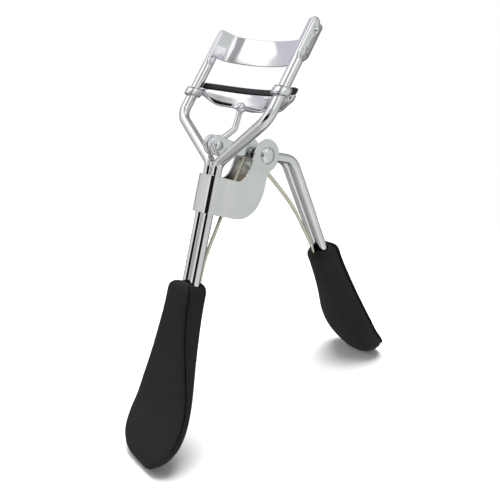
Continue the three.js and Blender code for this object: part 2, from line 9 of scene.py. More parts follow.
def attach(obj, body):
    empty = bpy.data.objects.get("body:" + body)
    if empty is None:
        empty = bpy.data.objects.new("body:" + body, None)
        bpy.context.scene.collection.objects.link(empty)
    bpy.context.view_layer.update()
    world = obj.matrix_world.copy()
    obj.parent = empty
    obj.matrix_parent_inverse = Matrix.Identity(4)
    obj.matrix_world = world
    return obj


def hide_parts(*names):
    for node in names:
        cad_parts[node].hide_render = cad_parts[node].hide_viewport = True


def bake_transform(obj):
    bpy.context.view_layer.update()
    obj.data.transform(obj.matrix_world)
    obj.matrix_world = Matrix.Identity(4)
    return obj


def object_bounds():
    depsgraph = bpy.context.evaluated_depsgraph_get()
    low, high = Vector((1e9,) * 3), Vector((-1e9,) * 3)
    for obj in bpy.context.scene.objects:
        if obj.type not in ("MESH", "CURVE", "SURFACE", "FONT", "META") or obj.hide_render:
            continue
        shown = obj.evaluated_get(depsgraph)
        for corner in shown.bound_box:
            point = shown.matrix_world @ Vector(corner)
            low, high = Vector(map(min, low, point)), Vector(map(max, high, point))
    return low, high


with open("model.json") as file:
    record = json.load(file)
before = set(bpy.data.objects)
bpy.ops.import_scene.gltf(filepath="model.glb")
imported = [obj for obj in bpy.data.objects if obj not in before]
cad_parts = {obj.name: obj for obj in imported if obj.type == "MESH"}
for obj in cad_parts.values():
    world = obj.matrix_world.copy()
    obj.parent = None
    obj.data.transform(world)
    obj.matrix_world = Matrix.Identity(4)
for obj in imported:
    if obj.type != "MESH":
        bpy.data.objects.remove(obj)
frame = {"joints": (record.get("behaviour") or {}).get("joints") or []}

# The looks of an eyelash curler that stands on its two grips. Lengths are millimetres in
# three working frames placed from the lever's pivot, and turn into metres as a mesh is made:
#   handle: x across, y back towards the lever, z along the fixed handle
#   head:   x across, y back, z along the two rails, from the end of the fork
#   lever:  the row frame's own axes, from the pivot
CAD_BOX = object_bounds()
MM = 0.001
SIDES = (("left", -1), ("right", 1))

# ---------------------------------------- driving dimensions
WIRE_R = 1.4
HANDLE_LEAN = math.radians(15.75)
RAIL_LEAN = math.radians(19)
HANDLE_GAP = 1.55
WIRE_START = 28
FORK_START = 85.8
FORK_END = Vector((17.3, -0.8, 97.4))
FORK_RADII = (3.1, 4.8)
RAIL_LENGTH = 27.6
PRESS_FROM = 15.6
PRESS_TO = 17.8
PRESS_HALF = 0.9
PRESS_WIDE = 1.04
LOBE_AT = 24.4
LOBE_SPREAD = 1.4
LOBE_SHARE = 0.45
PIT_AT = (0.5, 24.6)
PIT_R = 0.95
PIT_DEPTH = 1.1

JAW_R = 24
JAW_DEPTH = 9.4
PLATE_SLOPE = 0.335
PLATE_TOP = 27.3
PLATE_HEIGHT = 8.4
PLATE_SHEET = 0.6
TAB_BEND = 2.3  # how far from its tab, across, the plate starts to bend
TAB_END = -1.0
TAB_SUNK = 0.1  # how deep the tab's face is pressed into the rail

LOWER_R = 21
LOWER_DEPTH = 8.4
LOWER_SLOPE = 0.462
LOWER_DROP = 0.12
LOWER_ROLL = math.radians(2.5)
LOWER_YAW = math.radians(0.9)
PAD_TOP = 10.25
CHANNEL_TOP = 8.35
CHANNEL_BOTTOM = 3.7
CHANNEL_END_BOTTOM = 6.5
CHANNEL_TAPER = (10.5, 18.4)  # where it starts and stops getting shallower
CHANNEL_WALL = 0.45
CHANNEL_DEEP = (-0.15, 2.3)
END_ROUND = 1.7  # rounding of the jaw's back corners, seen from above
PAD_DEEP = (-0.05, 2.15)
STEM_DEEP = (0.75, 1.6)
FLARE_FROM = math.radians(33)
FLARE_AT = (17.75, 1.95)  # where the jaw's concave face ends, behind the rails
# Where the jaw, the pad and its stem end, as shares of the way out to FLARE_AT.
JAW_END = 1.0
PAD_END = 0.985
STEM_END = 0.7
LUG_BOTTOM = 3.15
LUG_THICK = 0.9
LUG_R = 1.9
EYE_R = 2.25
EYE_AT = 7.4
EYE_HALF = 1.05
EYE_PLAY = 0.25
RIVET_AT = 19.0

COLLAR_BOTTOM = 72.8
COLLAR_TOP = 82.6
FOLD_SPAN = (62, 102)  # the sheet's length before it is cut to shape
EAR_OUT = 4.05
EAR_R = 4.35
SHEET = 0.6
PIVOT = Vector((0, 14.3, 90.85))
RIVET_R = 1.2
RIVET_HEAD_R = 2.3
RIVET_HEAD = 0.95

LEVER_GAP = 1.65
ELBOW = Vector((12.46, -2.38))
LEVER_BEND = 5.9
LEVER_LEAN = math.radians(27.3)
LEVER_RUN = 32.9
PIN = Vector((-14.8, 3.5))
PIN_R = 0.75
PIN_PLAY = 0.6
PIN_HEAD_R = 1.25
PIN_HEAD = 0.55
PIN_DIMPLE = (0.6, 0.9)
ARM_WAIST = 1.15
ARM_IN = 0.85
ARM_OUT = 1.85
ARM_PIVOT_R = 2.3
ARM_PIN_R = 2.6

BALL = Vector((0, 5.1, 101.3))
BALL_R = 1.35
LINK_R = 0.75
LINK_ELBOW = Vector((0, 4.5, 95.6))
LINK_BEND = 2.2
LINK_EYE_RIM = 0.75
LINK_EYE_HALF = 0.62
SPRING_R = 0.5

FRONT_MOUTH = 54
GRIP_LENGTH = 50.6
REAR_MOUTH = 0.8
REAR_LENGTH = 55.4
REAR_STRETCH = 1.05
GRIP_WIRE_DEPTH = 26
GROOVE_INSET = 1.1
GROOVE_WIDE = 0.5
CLEAR = 0.3
# Painted shade: between these depths below the pivot, the housing's inside turns from painted
# dark to bright.
INSIDE_SHADE_FADE = (6, 1.5)  # below the pivot, where the housing's inside turns bright
AMBIENT = 0.42  # light from all sides on everything that isn't mirrored

TUBE_SIDES = 44
ARC_STEPS = 18
THINNEST = 0.004  # radius of the tiny cap that closes a turned shape on its axis

# ---------------------------------------- working frames
pivot_joint = next(j for j in frame["joints"] if j["name"] == "lever_pivot")
pivot_place = Vector(pivot_joint["pos_m"]) / MM
handle_turn = Matrix.Rotation(-HANDLE_LEAN, 4, "X")
LEVER_FRAME = Matrix.Translation(pivot_place)
HANDLE_FRAME = Matrix.Translation(pivot_place - handle_turn @ PIVOT) @ handle_turn
HEAD_FRAME = (
    HANDLE_FRAME
    @ Matrix.Translation((0, FORK_END.y, FORK_END.z))
    @ Matrix.Rotation(-RAIL_LEAN, 4, "X")
)
HANDLE_FROM_LEVER = HANDLE_FRAME.inverted() @ LEVER_FRAME


# ---------------------------------------- camera
CAMERA_FROM_PIVOT = Vector((0.100858, -0.092879, 0.015846))  # metres
CAMERA_DOWN = math.radians(17.174)
CAMERA_TURN = math.radians(48.24)
CAMERA_LENS = 35.283


def make_camera():
    """A camera that looks slightly down from the front right."""
    data = bpy.data.cameras.new("camera")
    data.lens = CAMERA_LENS
    data.sensor_width = 36
    data.clip_start = 0.005
    camera = bpy.data.objects.new("camera", data)
    camera.location = pivot_place * MM + CAMERA_FROM_PIVOT
    camera.rotation_euler = (math.pi / 2 - CAMERA_DOWN, 0, CAMERA_TURN)
    bpy.context.scene.collection.objects.link(camera)
    bpy.context.scene.camera = camera


make_camera()


# ---------------------------------------- numbers and paths
def smoothstep(value, low, high):
    share = min(1.0, max(0.0, (value - low) / (high - low)))
    return share * share * (3 - 2 * share)


def profile(stops, values):
    """A smooth curve through a value at each stop, as a function of t."""
    pairs = list(zip(stops, values))
    last = len(pairs) - 1

    def value_at(t):
        t = min(pairs[last][0], max(pairs[0][0], t))
        i = next(k for k in range(last) if t <= pairs[k + 1][0])
        (t0, v0), (t1, v1) = pairs[i], pairs[i + 1]
        before = pairs[max(0, i - 1)]
        after = pairs[min(last, i + 2)]
        slope0 = (v1 - before[1]) / (t1 - before[0])
        slope1 = (after[1] - v0) / (after[0] - t0)
        gap = t1 - t0
        s = (t - t0) / gap
        return (
            (2 * s**3 - 3 * s**2 + 1) * v0
            + (s**3 - 2 * s**2 + s) * gap * slope0
            + (3 * s**2 - 2 * s**3) * v1
            + (s**3 - s**2) * gap * slope1
        )

    return value_at


def bent_path(corners, radii, run_step, arc_steps=ARC_STEPS):
    """Points along a bent wire: straight runs through the corners, with an arc at each."""
    points = [corners[0].copy()]

    def run_to(end):
        start = points[-1]
        count = max(1, math.ceil((end - start).length / run_step))
        for k in range(1, count + 1):
            points.append(start.lerp(end, k / count))

    for before, corner, after, radius in zip(corners, corners[1:], corners[2:], radii):
        to_start = (before - corner).normalized()
        to_end = (after - corner).normalized()
        half = to_start.angle(to_end) / 2
        start = corner + to_start * radius / math.tan(half)
        end = corner + to_end * radius / math.tan(half)
        centre = corner + (to_start + to_end).normalized() * radius / math.sin(half)
        run_to(start)
        first = start - centre
        last = end - centre
        sweep = first.angle(last)
        for k in range(1, arc_steps + 1):
            turn = sweep * k / arc_steps
            share = (first * math.sin(sweep - turn) + last * math.sin(turn)) / math.sin(sweep)
            points.append(centre + share)
    run_to(corners[-1])
    return points


def full_circle(sides):
    return [2 * math.pi * k / sides for k in range(sides)]


# ---------------------------------------- meshes
def loft(rings, closed=False):
    """A skin over rings with equal counts of points; open lofts get flat end caps."""
    count = len(rings[0])
    verts = [point for ring in rings for point in ring]
    faces = []
    spans = len(rings) if closed else len(rings) - 1
    for i in range(spans):
        a = i * count
        b = ((i + 1) % len(rings)) * count
        for k in range(count):
            n = (k + 1) % count
            faces.append((a + k, a + n, b + n, b + k))
    if not closed:
        faces.append(tuple(reversed(range(count))))
        faces.append(tuple(range(len(verts) - count, len(verts))))
    return verts, faces


def dome_stops(tip, outwards, radius, steps=8):
    """Stops along a wire that round off its end."""
    turns = [k * math.pi / 2 / steps for k in range(1, steps)]
    return [(tip + outwards * radius * math.sin(a), radius * math.cos(a)) for a in turns]


def tube(path, radius, sides=TUBE_SIDES, round_start=False, round_end=False):
    """A round wire along a path, with flat or rounded ends."""
    stops = []
    tangents = []
    for i, point in enumerate(path):
        ahead = path[min(i + 1, len(path) - 1)]
        behind = path[max(i - 1, 0)]
        stops.append((point, radius))
        tangents.append((ahead - behind).normalized())
    if round_start:
        extra = dome_stops(path[0], -tangents[0], radius)
        stops = extra[::-1] + stops
        tangents = [tangents[0]] * len(extra) + tangents
    if round_end:
        extra = dome_stops(path[-1], tangents[-1], radius)
        stops = stops + extra
        tangents = tangents + [tangents[-1]] * len(extra)
    side = tangents[0].orthogonal().normalized()
    rings = []
    for (centre, r), tangent in zip(stops, tangents):
        side = (side - tangent * side.dot(tangent)).normalized()
        up = tangent.cross(side)
        turns = full_circle(sides)
        rings.append([centre + side * r * math.cos(a) + up * r * math.sin(a) for a in turns])
    return loft(rings)


def lathe(points, axis="X", at=(0, 0, 0), sides=56):
    """Turns (radius, along) points about an axis through at; ends on the axis are closed."""
    along_axis = Vector((1, 0, 0)) if axis == "X" else Vector((0, 0, 1))
    u = Vector((0, 1, 0)) if axis == "X" else Vector((1, 0, 0))
    w = along_axis.cross(u)
    closed = points[0] == points[-1]
    rings = []
    for r, along in points[: len(points) - closed]:
        middle = Vector(at) + along_axis * along
        reach = max(r, THINNEST)
        turns = full_circle(sides)
        rings.append([middle + (u * math.cos(a) + w * math.sin(a)) * reach for a in turns])
    return loft(rings, closed=closed)


def inset(outline, distance):
    """Moves each point of a counter-clockwise outline inwards."""
    moved = []
    for i, point in enumerate(outline):
        before = outline[i - 1]
        after = outline[(i + 1) % len(outline)]
        one = (point - before).normalized()
        two = (after - point).normalized()
        normal = Vector((-one.y - two.y, one.x + two.x))
        normal = normal.normalized() if normal.length > 1e-6 else Vector((-one.y, one.x))
        moved.append(point + normal * distance)
    return moved


def counter_clockwise(outline):
    """The outline, turned round if it runs clockwise."""
    area = sum(a.x * b.y - b.x * a.y for a, b in zip(outline, outline[1:] + outline[:1]))
    return outline if area > 0 else outline[::-1]


def rounded_prism(outline, low, high, edge, to_point, steps=3):
    """Extrudes an outline from low to high with rounded rims; to_point places (a, b, depth)."""
    outline = counter_clockwise(outline)
    rings = []
    turns = [k * math.pi / 2 / steps for k in range(steps + 1)]
    stops = [(low + edge * (1 - math.sin(a)), edge * (1 - math.cos(a))) for a in turns[::-1]]
    stops += [(high - edge * (1 - math.sin(a)), edge * (1 - math.cos(a))) for a in turns]
    for depth, distance in stops:
        ring = inset(outline, distance) if distance > 1e-6 else outline
        rings.append([to_point(p.x, p.y, depth) for p in ring])
    return loft(rings)


def across(a, b, depth):
    """Places an outline drawn in (y, z), extruded along x."""
    return Vector((depth, a, b))


def upright(a, b, depth):
    """Places an outline drawn in (x, y), extruded along z."""
    return Vector((a, b, depth))


def arc_2d(centre, radius, start, end, steps):
    turns = [start + (end - start) * k / steps for k in range(steps + 1)]
    return [centre + Vector((math.cos(a), math.sin(a))) * radius for a in turns]


def bezier_2d(a, b, c, d, steps=10):
    points = []
    for k in range(1, steps + 1):
        t = k / steps
        s = 1 - t
        points.append(a * s**3 + b * 3 * s * s * t + c * 3 * s * t * t + d * t**3)
    return points


def sideways(line, i):
    """The normal of a line of 2-D points at one of them."""
    run = (line[min(i + 1, len(line) - 1)] - line[max(i - 1, 0)]).normalized()
    return Vector((-run.y, run.x))


def both_sides(half):
    """A line that starts in the middle, with its mirror image before it."""
    return [Vector((-p.x, p.y)) for p in half[:0:-1]] + half


def ribbon(line, thickness):
    """Outline of an even ribbon along a line of 2-D points."""
    left = []
    right = []
    for i, point in enumerate(line):
        normal = sideways(line, i) * thickness / 2
        left.append(point + normal)
        right.append(point - normal)
    return left + right[::-1]


def tilted(shape, slope):
    """A shape whose back is raised by a slope."""
    verts, faces = shape
    return [Vector((v.x, v.y, v.z + slope * v.y)) for v in verts], faces


def both_ends(half):
    """A pin's profile, from one half of it."""
    return [(r, -along) for r, along in half[:0:-1]] + half[1:]


def make_object(name, shape, matrix):
    """A mesh object from millimetre vertices in a working frame."""
    verts, faces = shape
    mesh = bpy.data.meshes.new(name)
    placed = [(matrix @ v) * MM for v in verts]
    mesh.from_pydata([tuple(v) for v in placed], [], faces)
    work = bmesh.new()
    work.from_mesh(mesh)
    bmesh.ops.recalc_face_normals(work, faces=work.faces)
    work.to_mesh(mesh)
    work.free()
    thing = bpy.data.objects.new(name, mesh)
    bpy.context.scene.collection.objects.link(thing)
    return thing


def combine(thing, tool, operation):
    """Joins a tool to a thing, or cuts it away, and removes the tool."""
    modifier = thing.modifiers.new("shape", "BOOLEAN")
    modifier.operation = operation
    modifier.solver = "EXACT"
    modifier.object = tool
    bpy.context.view_layer.objects.active = thing
    bpy.ops.object.modifier_apply(modifier=modifier.name)
    bpy.data.objects.remove(tool)


def drill(thing, radius, low, high, axis, at, matrix):
    """Cuts a round hole through a thing."""
    bar = lathe([(0, low), (radius, low), (radius, high), (0, high)], axis, at)
    combine(thing, make_object("bar", bar, matrix), "DIFFERENCE")


def finish_piece(thing, material, body, nodes, sharp=35, bevel=0):
    """Shading, material and what the piece rides on."""
    thing.data.materials.clear()
    thing.data.materials.append(material)
    thing.data.shade_smooth()
    thing.data.set_sharp_from_angle(angle=math.radians(sharp))
    if bevel:
        modifier = thing.modifiers.new("rounded_edges", "BEVEL")
        modifier.width = bevel * MM
        modifier.segments = 3
        modifier.limit_method = "ANGLE"
        modifier.angle_limit = math.radians(sharp)
        modifier.harden_normals = True
    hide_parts(*nodes)
    if body:
        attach(thing, body)


# ---------------------------------------- materials
def node_material(name):
    """A new material with its nodes, links and main shader."""
    material = bpy.data.materials.new(name)
    material.use_nodes = True
    nodes = material.node_tree.nodes
    return material, nodes, material.node_tree.links, nodes["Principled BSDF"]


def object_noise(nodes, links, scale, detail, stretch=(1, 1, 1)):
    """Noise in the object's own coordinates, stretched along its axes."""
    place = nodes.new("ShaderNodeTexCoord")
    mapping = nodes.new("ShaderNodeMapping")
    mapping.inputs["Scale"].default_value = stretch
    noise = nodes.new("ShaderNodeTexNoise")
    noise.inputs["Scale"].default_value = scale
    noise.inputs["Detail"].default_value = detail
    links.new(place.outputs["Object"], mapping.inputs["Vector"])
    links.new(mapping.outputs["Vector"], noise.inputs["Vector"])
    return noise.outputs["Fac"]


def ramp(nodes, links, share, stops):
    """Colours, or greys, over a share that runs from 0 to 1."""
    node = nodes.new("ShaderNodeValToRGB")
    elements = node.color_ramp.elements
    while len(elements) < len(stops):
        elements.new(0.5)
    for element, (place, value) in zip(elements, stops):
        element.position = place
        element.color = (*value, 1) if isinstance(value, tuple) else (value, value, value, 1)
    links.new(share, node.inputs["Fac"])
    return node.outputs["Color"]


def bump(nodes, links, height, shader, strength, distance):
    """Raises a shader's surface by a height."""
    node = nodes.new("ShaderNodeBump")
    node.inputs["Strength"].default_value = strength
    node.inputs["Distance"].default_value = distance * MM
    links.new(height, node.inputs["Height"])
    links.new(node.outputs["Normal"], shader.inputs["Normal"])


def blend_by_height(nodes, links, height, start, end, below, above):
    """Turns from one colour to another as a height rises."""
    reach = nodes.new("ShaderNodeMapRange")
    reach.inputs["From Min"].default_value = start
    reach.inputs["From Max"].default_value = end
    links.new(height, reach.inputs["Value"])
    mix = nodes.new("ShaderNodeMix")
    mix.data_type = "RGBA"
    links.new(reach.outputs["Result"], mix.inputs["Factor"])
    links.new(below, mix.inputs["A"])
    links.new(above, mix.inputs["B"])
    return mix.outputs["Result"]


def surface(name, metallic, cloud, tints, wear, dulls, grain, relief, specular=0.5):
    """A material with a clouded colour, a patchy dullness and a fine grain."""
    material, nodes, links, shader = node_material(name)
    shader.inputs["Metallic"].default_value = metallic
    shader.inputs["Specular IOR Level"].default_value = specular
    tint = ramp(nodes, links, object_noise(nodes, links, *cloud), tints)
    links.new(tint, shader.inputs["Base Color"])
    dull = ramp(nodes, links, object_noise(nodes, links, *wear), dulls)
    links.new(dull, shader.inputs["Roughness"])
    bump(nodes, links, object_noise(nodes, links, *grain), shader, *relief)
    return material


def chrome(name, dark, light, smooth, worn):
    """Plated steel: a bright skin, faint clouding, and fine scratches that dull it."""
    tints = [(0.3, dark), (0.7, light)]
    scratch = (900, 6, (1, 1, 0.08))
    dulls = [(0.35, smooth), (0.62, smooth * 1.3), (0.8, worn)]
    return surface(name, 1, (140, 3), tints, scratch, dulls, scratch, (0.05, 0.02))


def inside_chrome_painted_shade():
    """The inside of the housing: dull, with painted shade that makes it dark low down, and plain
    bright chrome beside the pivot.
    """
    material = chrome("housing_inside_painted_shade", (0.13, 0.12, 0.09), (0.24, 0.21, 0.16), 0.22, 0.4)
    nodes = material.node_tree.nodes
    links = material.node_tree.links
    base = nodes["Principled BSDF"].inputs["Base Color"]
    dark = base.links[0].from_socket
    bright = nodes.new("ShaderNodeRGB")
    bright.outputs["Color"].default_value = (0.78, 0.79, 0.78, 1)
    place = nodes.new("ShaderNodeTexCoord")
    parts = nodes.new("ShaderNodeSeparateXYZ")
    links.new(place.outputs["Object"], parts.inputs["Vector"])
    # Painted shade: dark low in the fold, fading to bright towards the pivot.
    low, high = [(pivot_place.z - below) * MM for below in INSIDE_SHADE_FADE]
    height = parts.outputs["Z"]
    shade = blend_by_height(nodes, links, height, low, high, dark, bright.outputs["Color"])
    links.new(shade, base)
    return material


def soft_black():
    """Soft-touch plastic: charcoal, finely grained, a little shinier where hands rub it."""
    tints = [(0.3, (0.0072, 0.0074, 0.0082)), (0.7, (0.0098, 0.0100, 0.0110))]
    rubbed = [(0.35, 0.5), (0.7, 0.62)]
    return surface(
        "soft_black", 0, (60, 4), tints, (35, 3), rubbed, (2600, 2), (0.25, 0.05), specular=0.2
    )


def rubber():
    """Moulded rubber with a fine bloom."""
    cloud = (220, 4)
    tints = [(0.3, (0.007, 0.0075, 0.009)), (0.75, (0.012, 0.0125, 0.0145))]
    bloom = [(0.3, 0.55), (0.7, 0.7)]
    return surface("pad_rubber", 0, cloud, tints, cloud, bloom, (3000, 3), (0.2, 0.03))


def spring_steel():
    """Drawn wire: pale straw grey, with lines along its length."""
    tints = [(0.3, (0.66, 0.62, 0.48)), (0.7, (0.8, 0.77, 0.64))]
    drawn = (1200, 5, (1, 1, 0.05))
    dulls = [(0.3, 0.16), (0.75, 0.32)]
    return surface("spring_steel", 1, (200, 3), tints, drawn, dulls, drawn, (0.12, 0.02))


def white_floor():
    """Matt white board."""
    material, nodes, links, shader = node_material("white_floor")
    tint = ramp(nodes, links, object_noise(nodes, links, 8, 2), [(0.3, 0.86), (0.7, 0.88)])
    links.new(tint, shader.inputs["Base Color"])
    shader.inputs["Roughness"].default_value = 0.9
    shader.inputs["Specular IOR Level"].default_value = 0.1
    return material


FRAME_CHROME = chrome("frame_chrome", (0.76, 0.77, 0.78), (0.84, 0.85, 0.86), 0.05, 0.16)
JAW_CHROME = chrome("jaw_chrome", (0.78, 0.78, 0.81), (0.86, 0.86, 0.89), 0.05, 0.15)
HOUSING_CHROME = chrome("housing_chrome", (0.74, 0.76, 0.76), (0.82, 0.83, 0.83), 0.07, 0.2)
# Painted shade on the inside of the housing's fold.
HOUSING_INSIDE_SHADE = inside_chrome_painted_shade()
SPRING_STEEL = spring_steel()
SOFT_BLACK = soft_black()
PAD_RUBBER = rubber()


# ---------------------------------------- frame wires
def pressed(point, sign):
    """Flattens a rail's top: a thin blade with rounded rims, a round lobe at its back."""
    share = smoothstep(point.z, PRESS_FROM, PRESS_TO)
    if share == 0:
        return point
    centre = sign * FORK_END.x
    off = (point.x - centre) / WIRE_R
    flat = math.copysign(PRESS_HALF * abs(off) ** 0.7, off)
    lobe = 0
    if point.y > 0:
        lobe = LOBE_SHARE * math.exp(-(((point.z - LOBE_AT) / LOBE_SPREAD) ** 2))
    x = centre + WIRE_R * off * (1 - share) + flat * share
    return Vector((x, point.y * (1 + share * (PRESS_WIDE - 1) + lobe), point.z))


def pit(point, sign):
    """Presses a small round pit into a rail's outer face."""
    away = math.hypot(point.y - PIT_AT[0], point.z - PIT_AT[1]) / PIT_R
    if away >= 1 or (point.x - sign * FORK_END.x) * sign < 0.3:
        return point
    return Vector((point.x - sign * PIT_DEPTH * (1 - away * away) ** 2, point.y, point.z))


def frame_wire(sign):
    lean = Vector((0, math.sin(RAIL_LEAN), math.cos(RAIL_LEAN)))
    fork = Vector((sign * FORK_END.x, FORK_END.y, FORK_END.z))
    corners = [
        Vector((sign * HANDLE_GAP, 0, WIRE_START)),
        Vector((sign * HANDLE_GAP, 0, FORK_START)),
        fork,
        fork + lean * PRESS_FROM,
    ]
    path = bent_path(corners, FORK_RADII, 1.5)
    top = fork + lean * (RAIL_LENGTH - WIRE_R)
    steps = 60
    path += [path[-1].lerp(top, k / steps) for k in range(1, steps + 1)]
    verts, faces = tube(path, WIRE_R, sides=64, round_end=True)
    to_head = HEAD_FRAME.inverted() @ HANDLE_FRAME
    return [pit(pressed(to_head @ vert, sign), sign) for vert in verts], faces


for side, sign in SIDES:
    wire = make_object(f"frame_wire_{side}_surface", frame_wire(sign), HEAD_FRAME)
    finish_piece(wire, FRAME_CHROME, "frame", [f"frame_wire_{side}"], sharp=50)


# ---------------------------------------- upper jaw
def jaw_point(radius, depth, angle):
    """A point on a jaw's curve whose middle lies depth back."""
    return Vector((radius * math.sin(angle), depth - radius + radius * math.cos(angle)))


def rounded_box(low, high, bottom, top, edge, steps=4):
    """A rounded rectangle between low and high, bottom and top, as (a, b) points."""
    corners = [
        (high - edge, bottom + edge, -math.pi / 2),
        (high - edge, top - edge, 0),
        (low + edge, top - edge, math.pi / 2),
        (low + edge, bottom + edge, math.pi),
    ]
    points = []
    for a, b, start in corners:
        points += arc_2d(Vector((a, b)), edge, start, start + math.pi / 2, steps)
    return [(p.x, p.y) for p in points]


def sheet_along(line, sections, slope):
    """Sweeps one section of (out, z) points per stop along a 2-D line, raised by the slope."""
    rings = []
    for i, (point, section) in enumerate(zip(line, sections)):
        out = sideways(line, i)
        ring = []
        for a, z in section:
            at = point + out * a
            ring.append(Vector((at.x, at.y, z + slope * at.y)))
        rings.append(ring)
    return loft(rings)


def upper_jaw_line():
    """The middle of the plate's sheet, from one tab's end to the other's."""
    tab_x = FORK_END.x - PRESS_HALF + TAB_SUNK - PLATE_SHEET / 2
    mid = JAW_R + PLATE_SHEET / 2
    depth = JAW_DEPTH + PLATE_SHEET / 2
    bend_angle = math.asin((tab_x - TAB_BEND) / mid)
    steps = 40
    half = [jaw_point(mid, depth, bend_angle * k / steps) for k in range(steps + 1)]
    start = half[-1]
    half += bezier_2d(
        start,
        Vector((start.x + 1.5, start.y - 1.05)),
        Vector((tab_x, 3.2)),
        Vector((tab_x, 1.9)),
        16,
    )
    half.append(Vector((tab_x, TAB_END)))
    return both_sides(half)


def make_upper_jaw():
    half = PLATE_SHEET / 2
    section = rounded_box(-half, half, PLATE_TOP - PLATE_HEIGHT, PLATE_TOP, 0.2)
    line = upper_jaw_line()
    shape = sheet_along(line, [section] * len(line), PLATE_SLOPE)
    plate = make_object("upper_jaw_surface", shape, HEAD_FRAME)
    finish_piece(plate, JAW_CHROME, "frame", ["upper_jaw"], sharp=40)


make_upper_jaw()


def dome_profile(radius, height, face, hole_r=0.0, hole_depth=0.0, steps=10):
    """A domed head on a face, from its rim to its middle, with an optional small dimple."""
    points = [(radius, face)]
    for k in range(1, steps):
        angle = k / steps * math.pi / 2
        points.append((radius * math.cos(angle), face + height * math.sin(angle)))
    if hole_r:
        points = [p for p in points if p[0] > hole_r]
        points += [(hole_r, face + height * 0.96), (hole_r * 0.7, face + height - hole_depth)]
    points.append((0, face + height - hole_depth))
    return points


def make_jaw_rivets():
    """A small flush rivet holds each tab of the upper jaw to its flattened rail."""
    for side, sign in SIDES:
        face = FORK_END.x + PRESS_HALF - 0.05
        head_r = 0.6
        sunk = face - 0.2
        points = [(0, sunk), (head_r, sunk)] + dome_profile(head_r, 0.3, face, 0.22, 0.18)
        points = [(r, sign * along) for r, along in points]
        shape = lathe(points, "X", (0, 0, RIVET_AT), 40)
        rivet = make_object(f"upper_jaw_rivet_{side}_surface", shape, HEAD_FRAME)
        node = f"upper_jaw_rivet_{side}"
        finish_piece(rivet, FRAME_CHROME, "frame", [node], sharp=50)


make_jaw_rivets()

# ---------------------------------------- lower jaw
LOWER_FRAME = (
    HEAD_FRAME
    @ Matrix.Translation((0, 0, EYE_AT))
    @ Matrix.Rotation(LOWER_ROLL, 4, "Y")
    @ Matrix.Rotation(LOWER_YAW, 4, "Z")
    @ Matrix.Translation((0, 0, -EYE_AT - LOWER_DROP))
)


def jaw_line(reach, steps=60):
    """The lower jaw's curve at its concave face, flared behind the rails, up to a reach."""
    half = [jaw_point(LOWER_R, LOWER_DEPTH, FLARE_FROM * k / steps) for k in range(steps + 1)]
    start = half[-1]
    end = Vector(FLARE_AT)
    run = Vector((math.cos(FLARE_FROM), -math.sin(FLARE_FROM)))
    half += bezier_2d(start, start + run * 2.6, end - Vector((2.2, -0.5)), end, 24)
    limit = reach * end.x
    return both_sides([p for p in half if p.x <= limit])


def ellipse_arc(centre, across_r, up_r, start, end, steps):
    turns = [start + (end - start) * k / steps for k in range(steps + 1)]
    return [centre + Vector((math.cos(a) * across_r, math.sin(a) * up_r)) for a in turns]


def end_inset(point, reach):
    """How far the jaw's back corner is rounded off beside a point of its line."""
    past = (abs(point.x) - (FLARE_AT[0] * reach - END_ROUND)) / END_ROUND
    return END_ROUND * (1 - math.sqrt(max(0, 1 - max(0, past) ** 2)))


def channel_section(bottom, back):
    """A trough with a bulging front, open at the top, as (out, z) points."""
    low = CHANNEL_DEEP[0]
    high = max(CHANNEL_DEEP[1] - back, low + 1.3)
    turn = min(1.05, (high - low) * 0.48, (CHANNEL_TOP - bottom) * 0.45)
    rise = (CHANNEL_TOP - bottom) * 0.75
    outer = arc_2d(Vector((high - turn, bottom + turn)), turn, 0, -math.pi / 2, 8)
    outer += ellipse_arc(
        Vector((low + turn, bottom + rise)), turn, rise, -math.pi / 2, -math.pi, 16
    )
    wall = CHANNEL_WALL
    round_in = min(0.5, turn - wall)
    inner = ellipse_arc(
        Vector((low + turn, bottom + rise)), turn - wall, rise - wall, -math.pi, -math.pi / 2, 12
    )
    inner += arc_2d(
        Vector((high - wall - round_in, bottom + wall + round_in)), round_in, -math.pi / 2, 0, 5
    )
    rim = wall / 2
    front_rim = arc_2d(Vector((low + rim, CHANNEL_TOP - rim)), rim, math.pi, 0, 6)
    back_rim = arc_2d(Vector((high - rim, CHANNEL_TOP - rim)), rim, math.pi, 0, 6)
    return [(p.x, p.y) for p in outer + front_rim + inner + back_rim]


def make_channel():
    """The trough gets shallower towards both ends and leaves room for the guide eyes."""
    line = jaw_line(JAW_END)
    sections = []
    for point in line:
        share = smoothstep(abs(point.x), *CHANNEL_TAPER)
        bottom = CHANNEL_BOTTOM + (CHANNEL_END_BOTTOM - CHANNEL_BOTTOM) * share
        sections.append(channel_section(bottom, end_inset(point, JAW_END)))
    shape = sheet_along(line, sections, LOWER_SLOPE)
    channel = make_object("lower_jaw_channel_surface", shape, LOWER_FRAME)
    for sign in (-1, 1):
        drill(channel, EYE_R + 0.03, -10, 30, "Z", (sign * FORK_END.x, 0, 0), HEAD_FRAME)
    finish_piece(channel, JAW_CHROME, "lower_jaw", ["lower_jaw_channel"], sharp=40)


make_channel()


def pad_strip(name, deep, bottom, top, edge, reach):
    """A rounded strip along the jaw's line, with its back corners rounded off."""
    line = jaw_line(reach)
    sections = []
    for point in line:
        back = max(deep[1] - end_inset(point, reach), deep[0] + edge * 2.1)
        sections.append(rounded_box(deep[0], back, bottom, top, edge, 5))
    return make_object(name, sheet_along(line, sections, LOWER_SLOPE), LOWER_FRAME)


def make_pad():
    """The rubber: a round-edged head above the channel on a stem inside it."""
    pad = pad_strip("rubber_pad_surface", PAD_DEEP, CHANNEL_TOP + 0.1, PAD_TOP, 0.45, PAD_END)
    stem_bottom = CHANNEL_BOTTOM + 2.1
    stem = pad_strip("pad_stem", STEM_DEEP, stem_bottom, PAD_TOP - 0.6, 0.2, STEM_END)
    combine(pad, stem, "UNION")
    finish_piece(pad, PAD_RUBBER, "lower_jaw", ["rubber_pad"], sharp=40, bevel=0.3)


make_pad()


